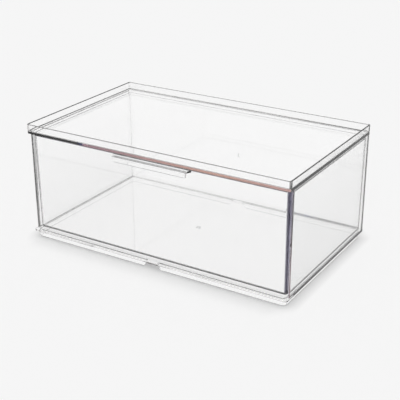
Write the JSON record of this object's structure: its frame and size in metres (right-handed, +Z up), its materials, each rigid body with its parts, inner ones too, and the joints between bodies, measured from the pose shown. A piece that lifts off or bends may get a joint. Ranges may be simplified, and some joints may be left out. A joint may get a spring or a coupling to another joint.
{
  "type": "stacking storage box with drawer",
  "caption": "Clear plastic stacking storage case, open at the front, with a full-width pull-out drawer, a raised stacking rim round its top and a foot ring that nests in it.",
  "frame": {"origin": "centre of the bounding box, on the surface that the foot ring stands on", "axes": "+X to the right along the front, +Y from the front to the back, +Z up"},
  "size_m": [0.32, 0.1934, 0.134],
  "materials": {
    "clear_case": "clear, polished, faintly grey at the edges",
    "clear_drawer": "clear, polished, faintly grey at the edges"
  },
  "bodies": {
    "case": {"case": "clear_case"},
    "drawer": {"drawer": "clear_drawer"}
  },
  "joints": [
    {"name": "drawer_slide", "type": "slide", "parent": "case", "child": "drawer", "axis": [0, -1, 0], "range_m": [0, 0.15]}
  ]
}
